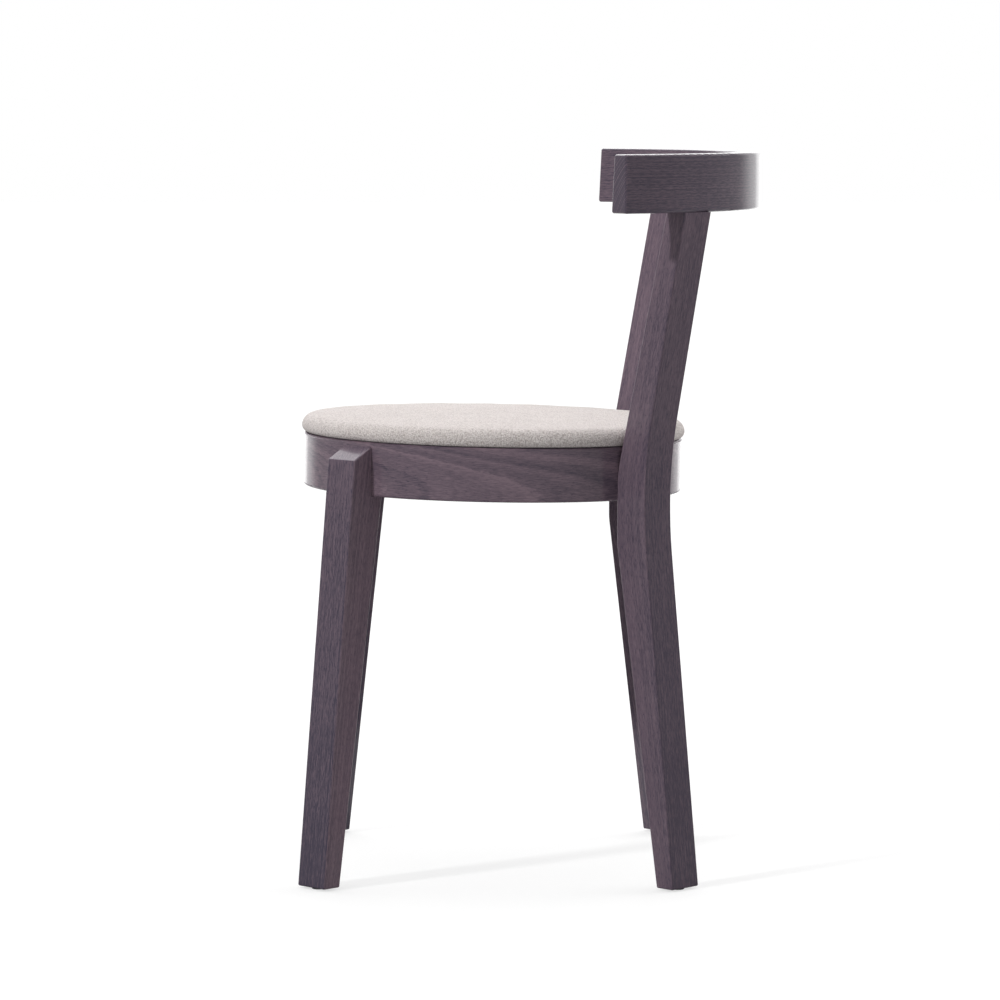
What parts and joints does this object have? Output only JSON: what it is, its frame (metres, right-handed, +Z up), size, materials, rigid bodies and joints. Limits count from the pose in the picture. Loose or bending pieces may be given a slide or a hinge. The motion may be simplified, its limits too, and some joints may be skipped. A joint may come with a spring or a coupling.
{
  "type": "upholstered wooden chair",
  "caption": "Round-seated wooden side chair: a bent seat ring on splayed square legs, a curved backrest band on the rear posts, and a thin padded cloth seat.",
  "frame": {"origin": "on the floor, in the middle of the chair's overall box", "axes": "+Z up; -Y the way the sitter faces; +X the sitter's left"},
  "size_m": [0.543, 0.485, 0.7555],
  "materials": {
    "stained_wood": "satin",
    "plain_wood": "matte",
    "plywood": "matte",
    "foam": "matte",
    "cover_cloth": "matte",
    "lining_cloth": "matte",
    "zinced_steel": "satin",
    "glide_plastic": "matte"
  },
  "bodies": {
    "root": {"seat_ring": "stained_wood", "backrest_band": "stained_wood", "front_leg_left": "stained_wood", "front_leg_right": "stained_wood", "rear_leg_left": "stained_wood", "rear_leg_right": "stained_wood", "seat_cleat_left": "plain_wood", "seat_cleat_right": "plain_wood", "seat_cleat_front": "plain_wood", "seat_cleat_rear": "plain_wood", "back_dowels": "plain_wood", "seat_board": "plywood", "seat_foam": "foam", "seat_cover": "cover_cloth", "seat_lining": "lining_cloth", "cover_staples": "zinced_steel", "cleat_screws": "zinced_steel", "seat_screws": "zinced_steel", "seat_tee_nuts": "zinced_steel", "leg_bolts": "zinced_steel", "leg_washers": "zinced_steel", "leg_inserts": "zinced_steel", "foot_glide_front_left": "glide_plastic", "foot_glide_front_right": "glide_plastic", "foot_glide_rear_left": "glide_plastic", "foot_glide_rear_right": "glide_plastic"}
  },
  "joints": []
}
